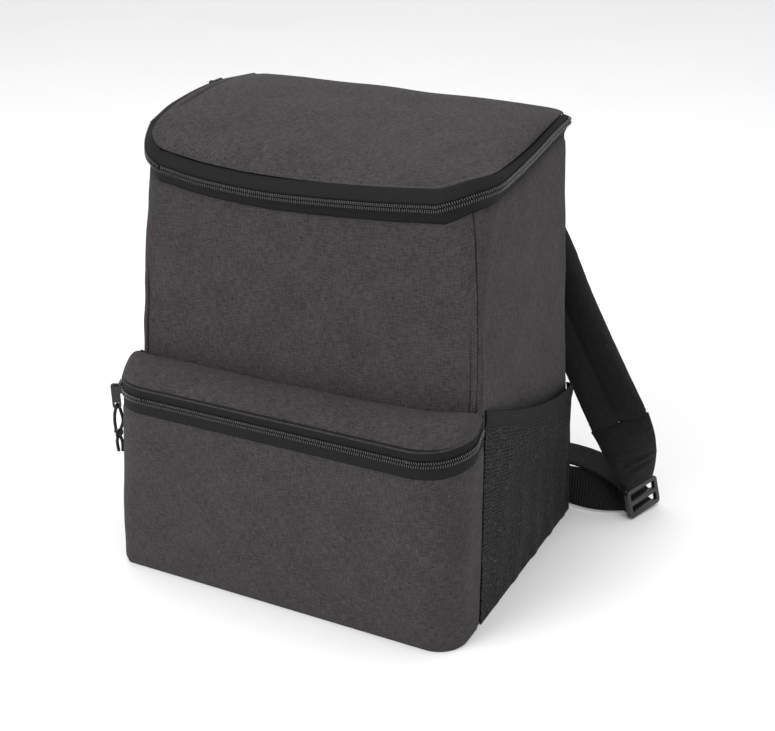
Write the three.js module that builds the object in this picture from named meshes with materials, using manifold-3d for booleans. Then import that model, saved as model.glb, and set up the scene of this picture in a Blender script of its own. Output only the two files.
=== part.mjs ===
// Soft cooler backpack standing on its base, in millimetres, +Z up, front towards -Y.
// While the pieces are made, the origin lies on the floor under the middle of the back
// edge. At the end the whole group is moved so that it lies under the middle of its box.

import * as THREE from "three";
import { mergeVertices } from "three/addons/utils/BufferGeometryUtils.js";
import Module from "manifold-3d";

const wasm = await Module();
wasm.setup();

// Bag body
const bodyWidth = 300;
const bodyDepth = 211;
const lidHeight = 360;
const wallThickness = 5;
const backCorner = 8;
const seamGap = 0.3;

// Lid and its zip, whose left side stands higher than its right one
const zipHeight = 317;
const zipRise = 45;
const zipOverhang = 4;
const lidThickness = 6;
const lidFall = 33;
const lidPuff = 3;
const lidTapeRise = 10;
const lidTapeLean = 5;
const leftTapeLean = 8;

// Zips
const chainWidth = 5.6;
const chainThickness = 2.2;
const chainProud = 0.8;
const tapeWidth = 8.4;
const tapeThickness = 1;
const tapeInset = 0.8;

// Front pocket
const pocketDepth = 36;
const pocketHeight = 175;
const pocketZipHeight = 157;
const pocketZipLeftDrop = 11;
const pocketZipRightRise = 8;
const pocketWall = 2;
const pocketWrap = 8;
const gussetPuff = 6;

// Mesh pockets on the sides
const meshFrontHeight = 179;
const meshBackHeight = 129;
const meshThickness = 1.2;
const meshStandOff = 8;
const foldDepth = 1.4;
const foldCount = 7;
const bindingWidth = 12.5;
const bindingThickness = 2.2;

// Shoulder straps
const strapWidth = 58;
const strapThickness = 11;
const strapSeamThickness = 3.8;
const strapSteps = 22;
const tabThickness = 3;
const tabBend = 8;
const webbingWidth = 30;
const webbingThickness = 1.6;
const webbingHeight = 2.5;
const webbingSeamAt = 8.05;
const tailLength = 92;

// Ladder-lock at the end of each strap, and its place off the strap's lower seam
const lockLength = 40;
const lockDepth = 26;
const lockThickness = 4;
const lockBar = 4;
const lockBeside = 21.5;
const lockBehind = 5;

// Zip sliders and their pulls
const sliderLength = 11;
const sliderWidth = 8;
const sliderThickness = 2.4;
const bridgeSpan = 8;
const bridgeBar = 1.4;
const pullLength = 22;
const pullWidth = 7;
const pullThickness = 1.4;
const pullBar = 1.6;
const pullClearance = 0.3;
const cordEye = 3.6;
const lidSliderAt = 2.3;
const pocketSliderAt = 1.3;

// Cord on the pocket's pull
const cordDiameter = 2.6;
const knotDiameter = 9;
const cordTail = 12;

// Outline of the bag at each height: shares of lidHeight, of half bodyWidth, of bodyDepth
// for the two faces, and of backCorner for the two front corners.
const bodySections = [
  { height: 0.0, half: 1.0, front: 1.0, back: 0.005, left: 0.8, right: 0.8 },
  { height: 0.17, half: 0.995, front: 0.978, back: 0.04, left: 0.7, right: 0.7 },
  { height: 0.36, half: 0.99, front: 0.958, back: 0.075, left: 0.65, right: 0.65 },
  { height: 0.51, half: 0.983, front: 0.938, back: 0.083, left: 0.65, right: 0.7 },
  { height: 0.61, half: 0.975, front: 0.915, back: 0.083, left: 0.7, right: 0.9 },
  { height: 0.72, half: 0.965, front: 0.895, back: 0.083, left: 1.0, right: 1.5 },
  { height: 0.82, half: 0.955, front: 0.88, back: 0.083, left: 1.7, right: 2.6 },
  { height: 0.92, half: 0.948, front: 0.872, back: 0.085, left: 2.6, right: 4.2 },
  { height: 1.04, half: 0.94, front: 0.865, back: 0.085, left: 3.0, right: 4.8 },
];

// Lid zip along the outline, in the terms of outlinePoint: its height above zipHeight as
// a share of zipRise, and its upper tape's rise as a share of lidTapeRise.
const zipRows = [
  { along: 1.5, rise: 0.83, tape: 0.3 },
  { along: 2.0, rise: 0.88, tape: 0.3 },
  { along: 2.4, rise: 1.0, tape: 0.3 },
  { along: 2.8, rise: 0.92, tape: 0.3 },
  { along: 3.0, rise: 0.76, tape: 0.3 },
  { along: 3.25, rise: 0.56, tape: 0.6 },
  { along: 3.5, rise: 0.4, tape: 0.95 },
  { along: 3.8, rise: 0.28, tape: 1.0 },
  { along: 4.0, rise: 0.2, tape: 1.0 },
  { along: 4.15, rise: 0.08, tape: 1.0 },
  { along: 4.35, rise: 0.01, tape: 1.0 },
  { along: 4.5, rise: 0.015, tape: 1.0 },
  { along: 4.8, rise: 0.1, tape: 1.0 },
  { along: 5.0, rise: 0.19, tape: 1.0 },
  { along: 5.25, rise: 0.285, tape: 0.95 },
  { along: 5.5, rise: 0.375, tape: 0.85 },
  { along: 5.75, rise: 0.415, tape: 0.7 },
  { along: 6.0, rise: 0.445, tape: 0.5 },
  { along: 6.25, rise: 0.505, tape: 0.28 },
  { along: 6.5, rise: 0.59, tape: 0.12 },
  { along: 6.75, rise: 0.69, tape: 0.12 },
  { along: 7.0, rise: 0.75, tape: 0.2 },
  { along: 7.5, rise: 0.72, tape: 0.2 },
];

// Height of the lid's top from its back edge to its front rim, as the share of lidFall
// that it lies below lidHeight, on the left, in the middle and on the right.
const lidRows = [
  { back: 0.0, left: -0.03, middle: 0.0, right: 0.05 },
  { back: 0.2, left: -0.18, middle: -0.12, right: 0.05 },
  { back: 0.4, left: -0.22, middle: -0.06, right: 0.18 },
  { back: 0.6, left: -0.19, middle: 0.12, right: 0.3 },
  { back: 0.8, left: -0.08, middle: 0.4, right: 0.42 },
  { back: 0.93, left: 0.2, middle: 0.68, right: 0.55 },
  { back: 1.0, left: 0.42, middle: 0.88, right: 0.68 },
];

// Rings of the lid: how far each lies towards the middle and up to the lid's top.
const lidRings = [
  { inward: 0, blend: 0 },
  { inward: 0, blend: 0.5 },
  { inward: 0.015, blend: 0.85 },
  { inward: 0.06, blend: 1 },
  { inward: 0.15, blend: 1 },
  { inward: 0.32, blend: 1 },
  { inward: 0.52, blend: 1 },
  { inward: 0.74, blend: 1 },
  { inward: 0.9, blend: 1 },
];

// Outline of the front pocket at each height: shares of pocketHeight, and of pocketDepth
// for how far it stands out from the bag's base and for its two plan corners.
const pocketSections = [
  { height: 0.0, out: 0.96, left: 0.22, right: 0.7 },
  { height: 0.06, out: 1.0, left: 0.28, right: 0.75 },
  { height: 0.4, out: 1.02, left: 0.62, right: 0.8 },
  { height: 0.65, out: 1.0, left: 0.9, right: 0.9 },
  { height: 0.9, out: 0.97, left: 1.05, right: 1.05 },
  { height: 1.1, out: 0.95, left: 1.1, right: 1.1 },
];

// Middle line of the right shoulder strap, from its seam on the back to its lower seam:
// shares of half bodyWidth, of bodyDepth behind the back edge, and of lidHeight.
const strapRoute = [
  { side: 0.377, behind: -0.07, height: 0.93 },
  { side: 0.44, behind: 0.06, height: 0.855 },
  { side: 0.533, behind: 0.142, height: 0.745 },
  { side: 0.687, behind: 0.161, height: 0.622 },
  { side: 0.853, behind: 0.123, height: 0.503 },
  { side: 1.067, behind: 0.085, height: 0.356 },
  { side: 1.253, behind: 0.057, height: 0.228 },
];

// Section of the strap: shares of half its width and of half its thickness.
const strapRim = [
  { across: -1, through: 0 },
  { across: -0.9, through: -0.75 },
  { across: -0.5, through: -1 },
  { across: 0, through: -0.4 },
  { across: 0.5, through: -1 },
  { across: 0.9, through: -0.75 },
  { across: 1, through: 0 },
  { across: 0.9, through: 0.75 },
  { across: 0.5, through: 1 },
  { across: 0, through: 0.4 },
  { across: -0.5, through: 1 },
  { across: -0.9, through: 0.75 },
];

// Loose webbing end, as shares of tailLength from the ladder-lock.
const tailRoute = [
  { back: 0.05, up: 0.05, behind: 0.015 },
  { back: 0.15, up: 0.16, behind: 0.0 },
  { back: 0.32, up: 0.25, behind: -0.025 },
  { back: 0.6, up: 0.305, behind: -0.025 },
  { back: 0.92, up: 0.31, behind: -0.025 },
];

// Cord through the pull's lower eye, from the knot up, through the eye and down again:
// millimetres outwards, forwards and up from the eye's middle.
const cordRoute = [
  [-0.7, -0.2, -22],
  [-3.2, -0.6, -15],
  [-2.2, -1.6, -7],
  [-0.6, -2.2, -1.8],
  [0, 0, 0.2],
  [0.6, 2.2, -1.8],
  [2.2, 1.6, -7],
  [3.2, 0.6, -15],
  [3.1, 0.2, -22],
];

// Basic helpers
const clamp = (value) => Math.min(1, Math.max(0, value));
const mix = (a, b, share) => a + (b - a) * share;
const point = (x, y, z) => new THREE.Vector3(x, y, z);
const steps = (from, to, count) =>
  Array.from({ length: count + 1 }, (_, i) => mix(from, to, i / count));

// Value of one column of a table at a place along its first column, on a smooth curve.
function tableValue(rows, key, column, at) {
  const last = rows.length - 1;
  const next = rows.findIndex((row) => row[key] > at);
  const i = next < 0 ? last - 1 : Math.max(0, next - 1);
  const [a, b] = [rows[i], rows[i + 1]];
  const before = rows[Math.max(0, i - 1)];
  const after = rows[Math.min(last, i + 2)];
  const span = b[key] - a[key];
  const share = clamp((at - a[key]) / span);
  const slopeA = ((b[column] - before[column]) / (b[key] - before[key])) * span;
  const slopeB = ((after[column] - a[column]) / (after[key] - a[key])) * span;
  const s2 = share * share;
  const s3 = s2 * share;
  return (
    a[column] * (2 * s3 - 3 * s2 + 1) +
    slopeA * (s3 - 2 * s2 + share) +
    b[column] * (3 * s2 - 2 * s3) +
    slopeB * (s3 - s2)
  );
}

// Shared points and triangles of one closed body
class Solid {
  constructor() {
    this.points = [];
    this.faces = [];
  }

  addRow(row) {
    const first = this.points.length;
    this.points.push(...row);
    return row.map((_, i) => first + i);
  }

  // Joins two rows of the same length.
  strip(low, high, closed) {
    const count = closed ? low.length : low.length - 1;
    for (let i = 0; i < count; i += 1) {
      const j = (i + 1) % low.length;
      this.faces.push([low[i], low[j], high[j]], [low[i], high[j], high[i]]);
    }
  }

  // Fills a closed row with a fan about its middle.
  fan(row, facesUp) {
    const middle = point(0, 0, 0);
    row.forEach((i) => middle.add(this.points[i]));
    const [centre] = this.addRow([middle.divideScalar(row.length)]);
    row.forEach((a, i) => {
      const b = row[(i + 1) % row.length];
      this.faces.push(facesUp ? [a, b, centre] : [b, a, centre]);
    });
  }

  geometry() {
    const geometry = new THREE.BufferGeometry();
    const flat = this.points.flatMap((p) => [p.x, p.y, p.z]);
    geometry.setAttribute("position", new THREE.Float32BufferAttribute(flat, 3));
    geometry.setIndex(this.faces.flat());
    return geometry;
  }
}

// Closed wall between an outer and an inner grid. place(u, v, inner) gives each point,
// with u running counter-clockwise seen from above and v upwards.
function wall(place, uList, vList) {
  const solid = new Solid();
  const grid = (inner) =>
    vList.map((v) => solid.addRow(uList.map((u) => place(u, v, inner))));
  const [outer, inner] = [grid(false), grid(true)];
  for (let k = 0; k + 1 < vList.length; k += 1) {
    solid.strip(outer[k], outer[k + 1], false);
    solid.strip(inner[k + 1], inner[k], false);
  }
  const top = vList.length - 1;
  const end = uList.length - 1;
  const column = (rows, i) => rows.map((row) => row[i]);
  solid.strip(inner[0], outer[0], false);
  solid.strip(outer[top], inner[top], false);
  solid.strip(column(outer, 0), column(inner, 0), false);
  solid.strip(column(inner, end), column(outer, end), false);
  return solid.geometry();
}

// Closed body through rings of points that run counter-clockwise seen from its far end.
function loft(rings) {
  const solid = new Solid();
  const rows = rings.map((ring) => solid.addRow(ring));
  for (let k = 0; k + 1 < rows.length; k += 1) {
    solid.strip(rows[k], rows[k + 1], true);
  }
  solid.fan(rows[0], false);
  solid.fan(rows[rows.length - 1], true);
  return solid.geometry();
}

// Directions over the width and through the thickness of a band along a line of points,
// where across(share) leads roughly over its width.
function bandFrames(line, across) {
  const last = line.length - 1;
  return line.map((p, i) => {
    const ahead = line[Math.min(last, i + 1)];
    const along = ahead.clone().sub(line[Math.max(0, i - 1)]).normalize();
    const wide = across(i / last).clone();
    wide.addScaledVector(along, -wide.dot(along)).normalize();
    return { p, wide, through: along.cross(wide) };
  });
}

// Band whose section shape(share) lists as [over the width, through the thickness].
function band(line, across, shape) {
  const rings = bandFrames(line, across).map(({ p, wide, through }, i) =>
    shape(i / (line.length - 1)).map(([a, t]) =>
      p.clone().addScaledVector(wide, a).addScaledVector(through, t),
    ),
  );
  return loft(rings);
}

const flatShape = (width, thickness) => [
  [-width / 2, -thickness / 2],
  [width / 2, -thickness / 2],
  [width / 2, thickness / 2],
  [-width / 2, thickness / 2],
];

const curveThrough = (points, count) =>
  new THREE.CatmullRomCurve3(points, false, "centripetal").getSpacedPoints(count);

function mirrored(geometry) {
  const copy = geometry.clone();
  copy.applyMatrix4(new THREE.Matrix4().makeScale(-1, 1, 1));
  const index = copy.getIndex();
  for (let i = 0; i < index.count; i += 3) {
    const keep = index.getX(i);
    index.setX(i, index.getX(i + 1));
    index.setX(i + 1, keep);
  }
  return copy;
}

function asSolid(geometry) {
  const bare = geometry.clone();
  bare.deleteAttribute("normal");
  bare.deleteAttribute("uv");
  const merged = mergeVertices(bare, 1e-4);
  const mesh = new wasm.Mesh({
    numProp: 3,
    vertProperties: new Float32Array(merged.attributes.position.array),
    triVerts: new Uint32Array(merged.getIndex().array),
  });
  return new wasm.Manifold(mesh);
}

function asGeometry(solid) {
  const mesh = solid.getMesh();
  const geometry = new THREE.BufferGeometry();
  geometry.setAttribute("position", new THREE.Float32BufferAttribute(mesh.vertProperties, 3));
  geometry.setIndex(Array.from(mesh.triVerts));
  return geometry;
}

const joined = (geometries) =>
  asGeometry(geometries.map(asSolid).reduce((sum, body) => sum.add(body)));
const cutBy = (geometry, holes) =>
  asGeometry(holes.map(asSolid).reduce((rest, hole) => rest.subtract(hole), asSolid(geometry)));

function box(x, y, z, middle) {
  const geometry = new THREE.BoxGeometry(x, y, z);
  geometry.translate(...middle);
  return geometry;
}

// Flat plate with rounded corners, about the origin.
function plate(width, height, corner, thickness) {
  const outline = new THREE.Shape();
  const [x, y] = [width / 2 - corner, height / 2 - corner];
  const right = Math.PI / 2;
  outline.absarc(x, -y, corner, -right, 0, false);
  outline.absarc(x, y, corner, 0, right, false);
  outline.absarc(-x, y, corner, right, 2 * right, false);
  outline.absarc(-x, -y, corner, 2 * right, 3 * right, false);
  const settings = { depth: thickness, bevelEnabled: false, curveSegments: 3 };
  const geometry = new THREE.ExtrudeGeometry(outline, settings);
  geometry.translate(0, 0, -thickness / 2);
  return geometry;
}

// Outline of the bag at a height, moved inwards by inset.
function bodyOutline(z, inset) {
  const share = (column) => tableValue(bodySections, "height", column, z / lidHeight);
  return {
    half: (share("half") * bodyWidth) / 2 - inset,
    front: -share("front") * bodyDepth + inset,
    back: -share("back") * bodyDepth - inset,
    leftCorner: Math.max(0.6, share("left") * backCorner - inset),
    rightCorner: Math.max(0.6, share("right") * backCorner - inset),
    backCorner: Math.max(0.6, backCorner - inset),
  };
}

// Point of a rounded oblong. u runs 0 to 1 over half of the back, then over the left back
// corner, left side, left front corner, front, right front corner, right side and right
// back corner, and from 8 to 9 over the rest of the back.
function outlinePoint(outline, u, z) {
  const turn = ((u % 9) + 9) % 9;
  const part = Math.floor(turn);
  const share = turn - part;
  const { half, front, back, leftCorner: left, rightCorner: right } = outline;
  const rear = outline.backCorner;
  const arc = (x, y, radius, from) => {
    const angle = ((from + share * 90) * Math.PI) / 180;
    return point(x + radius * Math.cos(angle), y + radius * Math.sin(angle), z);
  };
  if (part === 0) return point(mix(0, rear - half, share), back, z);
  if (part === 1) return arc(rear - half, back - rear, rear, 90);
  if (part === 2) return point(-half, mix(back - rear, front + left, share), z);
  if (part === 3) return arc(left - half, front + left, left, 180);
  if (part === 4) return point(mix(left - half, half - right, share), front, z);
  if (part === 5) return arc(half - right, front + right, right, 270);
  if (part === 6) return point(half, mix(front + right, back - rear, share), z);
  if (part === 7) return arc(half - rear, back - rear, rear, 0);
  return point(mix(half - rear, 0, share), back, z);
}

const bodyPoint = (u, z, inset) => outlinePoint(bodyOutline(z, inset), u, z);

// The seams run down the middle of the four corners.
const backSeam = 1.5;
const frontSeam = 3.5;

// u values from one seam to another, close together round the corners.
function stations(from, to) {
  const marks = [from];
  for (let part = Math.floor(from); part < to; part += 1) {
    const count = [1, 3, 5, 7].includes(part % 9) ? 4 : 6;
    marks.push(...steps(part, part + 1, count).slice(0, -1));
  }
  const inside = marks.filter((u) => u > from + 0.01 && u < to - 0.01);
  return [from, ...inside, to];
}

// Point of a panel whose two ends stand half a gap off their seams.
function panelPoint(u, z, inset, from, to) {
  const outline = bodyOutline(z, inset);
  const turn = u % 9;
  const front = turn < 4.5 ? outline.leftCorner : outline.rightCorner;
  const radius = turn < 2 || turn > 7 ? outline.backCorner : front;
  const shift = seamGap / Math.PI / radius;
  const at = u === from ? u + shift : u === to ? u - shift : u;
  return outlinePoint(outline, at, z);
}

// How far round to the left side a place is, 0 to 1, from the front corner on.
function leftShare(u) {
  if (u < backSeam || u > frontSeam) return 0;
  return u > 3 ? (frontSeam - u) * 2 : 1;
}

// Height of the lid zip's chain at a place on the outline.
const zipAt = (u) => zipHeight + zipRise * tableValue(zipRows, "along", "rise", u);

const chainReach = chainWidth / 2 + seamGap;
const tapeReach = chainReach + tapeWidth;

// Panel of the insulated body from the floor up to top(u), its top edge sloping inwards.
function bodyPanel(from, to, top) {
  const place = (u, v, inner) => {
    const z = v * (top(u) - (inner ? wallThickness * 0.3 : 0));
    return panelPoint(u, z, inner ? wallThickness : 0, from, to);
  };
  return wall(place, stations(from, to), steps(0, 1, 9));
}

const underZip = (u) => zipAt(u) - tapeReach - seamGap;
const underHinge = () => lidHeight - lidThickness - seamGap;
const frontPanel = () => bodyPanel(frontSeam, 9 - frontSeam, underZip);
const leftPanel = () => bodyPanel(backSeam, frontSeam, underZip);
const rightPanel = () => bodyPanel(9 - frontSeam, 9 - backSeam, underZip);
const backPanel = () => bodyPanel(9 - backSeam, 9 + backSeam, underHinge);

// Flat plate inside the four panels.
function basePanel() {
  const us = stations(0, 9).slice(0, -1);
  const ring = (z) => us.map((u) => bodyPoint(u, z, wallThickness + 2 * seamGap));
  return loft([ring(0), ring(wallThickness)]);
}

// Lid zip: its lower tape goes on upwards from the body, and its upper one leans inwards.
const zipWall = (place, rows) =>
  wall(place, stations(backSeam, 9 - backSeam), steps(0, 1, rows));
const zipPoint = (u, z, inset) => panelPoint(u, z, inset, backSeam, 9 - backSeam);

function lidTapeLower() {
  const place = (u, v, inner) => {
    const z = zipAt(u) - mix(tapeReach, chainReach, v);
    const flare = zipOverhang * v ** 1.5;
    return zipPoint(u, z, tapeInset - flare + (inner ? tapeThickness : 0));
  };
  return zipWall(place, 1);
}

// Section of a zip's chain: shares of its width and of how proud it stands of its tapes.
const chainRows = [
  { up: -0.5, out: 0 },
  { up: -0.22, out: 1 },
  { up: 0.22, out: 1 },
  { up: 0.5, out: 0 },
];

// Height and inset of a place on a chain, v from its lower to its upper edge.
function chainPlace(v, inner) {
  const row = chainRows[Math.round(v * (chainRows.length - 1))];
  const depth = inner ? chainThickness : chainProud * (1 - row.out);
  return { up: row.up * chainWidth, inset: tapeInset - chainProud + depth };
}

function lidChain() {
  const place = (u, v, inner) => {
    const { up, inset } = chainPlace(v, inner);
    return zipPoint(u, zipAt(u) + up, inset - zipOverhang);
  };
  return zipWall(place, chainRows.length - 1);
}

// Point on the leaning upper tape, at a share of the way up it.
function leanPoint(u, share, deeper) {
  const left = leftShare(u);
  const lean = mix(lidTapeLean, leftTapeLean, left) * share ** 1.4;
  const rise = lidTapeRise * tableValue(zipRows, "along", "tape", u) * share;
  const inset = tapeInset - zipOverhang + lean + deeper * 0.8;
  const outline = bodyOutline(zipAt(u), inset);
  const shift = (2 * seamGap) / Math.PI / outline.backCorner;
  const end = u === backSeam ? shift : u === 9 - backSeam ? -shift : 0;
  return outlinePoint(outline, u + end, zipAt(u) + chainReach + rise - deeper * 0.6 * share);
}

const lidTapeUpper = () =>
  zipWall((u, v, inner) => leanPoint(u, v, inner ? tapeThickness / 0.8 : 0), 3);

// Height of the lid's top over a place in plan.
function lidTop(x, y) {
  const outline = bodyOutline(lidHeight, 0);
  const back = clamp((outline.back - y) / (outline.back - outline.front));
  const side = clamp(Math.abs(x) / outline.half);
  const middle = tableValue(lidRows, "back", "middle", back);
  const edge = tableValue(lidRows, "back", x < 0 ? "left" : "right", back);
  return lidHeight - lidFall * mix(middle, edge, side * side);
}

// Foot of the lid: in the crease over the upper tape, and on the hinge along the back.
function lidFoot(u) {
  const atHinge = u <= backSeam || u >= 9 - backSeam;
  const foot = atHinge ? bodyPoint(u, underHinge(), 0.5) : leanPoint(u, 1, 0);
  return foot.setZ(foot.z + seamGap);
}

function lidRing(us, row, depth) {
  const centre = -bodyDepth / 2;
  return us.map((u) => {
    const foot = lidFoot(u);
    const shrink = (length, half) => length * (1 - depth / half) * (1 - row.inward);
    const x = shrink(foot.x, bodyWidth / 2);
    const y = centre + shrink(foot.y - centre, bodyDepth / 2);
    const top = lidTop(x, y) + lidPuff * Math.sin(Math.PI * clamp(row.inward * 2));
    return point(x, y, mix(foot.z, top - depth, row.blend));
  });
}

// Padded lid, hollow below.
function lid() {
  const us = stations(0, 9).slice(0, -1);
  const solid = new Solid();
  const outer = lidRings.map((row) => solid.addRow(lidRing(us, row, 0)));
  const inner = lidRings.map((row) => solid.addRow(lidRing(us, row, lidThickness)));
  const last = lidRings.length - 1;
  for (let k = 0; k < last; k += 1) {
    solid.strip(outer[k], outer[k + 1], true);
    solid.strip(inner[k + 1], inner[k], true);
  }
  solid.strip(inner[0], outer[0], true);
  solid.fan(outer[last], true);
  solid.fan(inner[last], false);
  return solid.geometry();
}

// Front pocket. Its outline runs from the left body seam round the front to the right
// one: w is 0 to 1 on the left side, 1 to 2 on its corner, 2 to 3 on the front, and then
// the same on the right. Its ends wrap round the body's front corners.
function pocketPoint(w, z, inset) {
  const share = (column) =>
    tableValue(pocketSections, "height", column, z / pocketHeight);
  const wrap = seamGap + pocketWall - inset;
  const half = bodyWidth / 2 + wrap;
  const front = -bodyDepth - pocketDepth * share("out") + inset;
  const isLeft = w < 2.5;
  const radius = Math.max(1, share(isLeft ? "left" : "right") * pocketDepth - inset);
  const turn = isLeft ? w : 5 - w;
  const side = isLeft ? -1 : 1;
  if (turn < 1) {
    const body = bodyOutline(z, 0);
    const x = mix(body.half + wrap, half, turn);
    return point(side * x, mix(body.front + pocketWrap, front + radius, turn), z);
  }
  if (turn < 2) {
    const angle = ((turn - 1) * Math.PI) / 2;
    const x = half - radius + radius * Math.cos(angle);
    return point(side * x, front + radius - radius * Math.sin(angle), z);
  }
  return point(side * (half - radius) * (5 - 2 * turn), front, z);
}

const pocketHalf = [0, 0.08, 0.3, 0.6, 1, 1.25, 1.5, 1.75, 2, 2.2, 2.4];
const pocketStations = [...pocketHalf, ...pocketHalf.map((w) => 5 - w).reverse()];
const gussetStations = pocketStations.slice(2, -2);

// Height of the pocket zip's chain, which drops at its left end and rises at its right.
function pocketZipAt(w) {
  const end = clamp((Math.abs(w - 2.5) - 0.4) / 1.6) ** 2;
  return pocketZipHeight + end * (w < 2.5 ? -pocketZipLeftDrop : pocketZipRightRise);
}

function pocketFront() {
  const place = (w, v, inner) => {
    const z = v * (pocketZipAt(w) - tapeReach - seamGap);
    return pocketPoint(w, z, inner ? pocketWall : 0);
  };
  return wall(place, pocketStations, steps(0, 1, 7));
}

function pocketTape(from, to) {
  const place = (w, v, inner) => {
    const z = pocketZipAt(w) + mix(from, to, v);
    return pocketPoint(w, z, tapeInset + (inner ? tapeThickness : 0));
  };
  return wall(place, pocketStations, steps(0, 1, 1));
}

const pocketTapeLower = () => pocketTape(-tapeReach, -chainReach);
const pocketTapeUpper = () => pocketTape(chainReach, tapeReach);

function pocketChain() {
  const place = (w, v, inner) => {
    const { up, inset } = chainPlace(v, inner);
    return pocketPoint(w, pocketZipAt(w) + up, inset);
  };
  return wall(place, pocketStations, steps(0, 1, chainRows.length - 1));
}

// Top of the pocket, whose crease on the front panel rises towards the right.
function pocketGusset() {
  const place = (w, v, inner) => {
    const depth = inner ? pocketWall : 0;
    const rim = pocketPoint(w, pocketZipAt(w) + tapeReach + seamGap, depth);
    const half = bodyOutline(pocketHeight, seamGap).half;
    const x = Math.max(-half, Math.min(half, rim.x));
    const crease = pocketHeight + clamp(x / half) ** 3 * pocketZipRightRise;
    const rear = Math.max(rim.y, bodyPoint(4.5, crease, -seamGap).y - depth / 2);
    const puff = gussetPuff * Math.sin(Math.PI * v) * clamp((rear - rim.y) / pocketDepth);
    const rise = Math.sin((Math.PI / 2) * v);
    const z = mix(rim.z, crease - depth, rise) + puff;
    return point(mix(rim.x, x, v), mix(rim.y, rear, v), z);
  };
  return wall(place, gussetStations, steps(0, 1, 6));
}

// Bottom of the pocket between its front and the body.
function pocketBase() {
  const ws = pocketStations.slice(3, -3);
  const near = bodyPoint(4.5, 0, -2 * seamGap).y;
  const ring = (z) => {
    const rim = ws.map((w) => pocketPoint(w, 0, pocketWall + 2 * seamGap).setZ(z));
    return rim.map((p) => p.setY(Math.min(p.y, near)));
  };
  return loft([ring(0), ring(pocketWall)]);
}

// Mesh pocket on the right side: s runs from its front edge to its back one.
const meshFrom = 6.04;
const meshTo = 7.3;
const meshStations = () => steps(0, 1, foldCount * 4);

const meshTopAt = (s) =>
  mix(meshFrontHeight, meshBackHeight, Math.sin((Math.PI / 2) * clamp(s * 1.1)));

function meshPoint(s, z, out) {
  const rise = clamp(z / meshBackHeight);
  const belly = Math.sin(Math.PI * clamp(s)) ** 0.7;
  const fold = Math.cos(2 * Math.PI * foldCount * s) * foldDepth;
  const off = belly * (meshStandOff * rise + fold * mix(0.4, 1, rise));
  return bodyPoint(mix(meshFrom, meshTo, s), z, -Math.max(seamGap, off) - out);
}

function meshPocket() {
  const place = (s, v, inner) => {
    const z = v * (meshTopAt(s) - bindingWidth - seamGap);
    return meshPoint(s, z, inner ? 0 : meshThickness);
  };
  return wall(place, meshStations(), steps(0, 1, 6));
}

function meshBinding() {
  const place = (s, v, inner) => {
    const z = meshTopAt(s) - bindingWidth * (1 - v);
    return meshPoint(s, z, inner ? 0 : bindingThickness);
  };
  return wall(place, meshStations(), steps(0, 1, 2));
}

// Right shoulder strap: two padded channels with a stitched groove between them.
const strapAcross = point(1, 0, 0.35).normalize();

function strapLine() {
  const points = strapRoute.map((row) =>
    point((row.side * bodyWidth) / 2, row.behind * bodyDepth, row.height * lidHeight),
  );
  const [seam] = points;
  seam.setY(bodyOutline(seam.z, 0).back + seamGap + strapSeamThickness * 0.4);
  return curveThrough(points, strapSteps);
}

function shoulderStrap() {
  const shape = (share) => {
    const fill = Math.sin(Math.PI * share) ** 0.25;
    const thick = mix(strapSeamThickness, strapThickness, fill);
    return strapRim.map((row) => [(row.across * strapWidth) / 2, (row.through * thick) / 2]);
  };
  return band(strapLine(), () => strapAcross, shape);
}

// Ladder-lock, standing on the floor: its bars run along lockAcross, and lockAlong leads
// from the webbing's bar up to the tab's.
const lockAcross = point(0.35, 0.93, 0.06).normalize();
const lockAlong = point(-0.23, -0.02, 0.97);
lockAlong.addScaledVector(lockAcross, -lockAlong.dot(lockAcross)).normalize();
const lockNormal = lockAcross.clone().cross(lockAlong);

function offLock(along, out) {
  const end = strapLine().pop();
  const drop = lockAcross.z * lockLength + lockAlong.z * lockDepth;
  const low = (drop + Math.abs(lockNormal.z) * lockThickness) / 2;
  const centre = point(end.x + lockBeside, end.y + lockBehind, low);
  return centre.addScaledVector(lockAlong, along).addScaledVector(lockNormal, out);
}

function ladderLock() {
  const slot = (lockDepth - 3 * lockBar) / 2;
  const hole = (side) => {
    const middle = [0, (side * (slot + lockBar)) / 2, 0];
    return box(lockLength - 2 * lockBar, slot, 2 * lockThickness, middle);
  };
  const whole = plate(lockLength, lockDepth, lockBar, lockThickness);
  const geometry = cutBy(whole, [hole(-1), hole(1)]);
  geometry.applyMatrix4(new THREE.Matrix4().makeBasis(lockAcross, lockAlong, lockNormal));
  const centre = offLock(0, 0);
  geometry.translate(centre.x, centre.y, centre.z);
  return geometry;
}

// Tapered cloth tab from the strap's lower seam to the ladder-lock.
function strapTab() {
  const route = strapLine();
  const end = route[route.length - 1];
  const along = end.clone().sub(route[route.length - 2]).normalize();
  const start = end.addScaledVector(along, seamGap);
  const bend = start.clone().addScaledVector(along, tabBend);
  const [over, stop] = [tabBend, 0].map((up) => offLock(lockDepth / 2 + seamGap + up, 0));
  const line = [start, ...curveThrough([bend, over], 5), stop];
  const wide = (share) => strapAcross.clone().lerp(lockAcross, share ** 1.5);
  const shape = (share) =>
    flatShape(mix(strapWidth - 2, webbingWidth + 2, share), tabThickness);
  return band(line, wide, shape);
}

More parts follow.
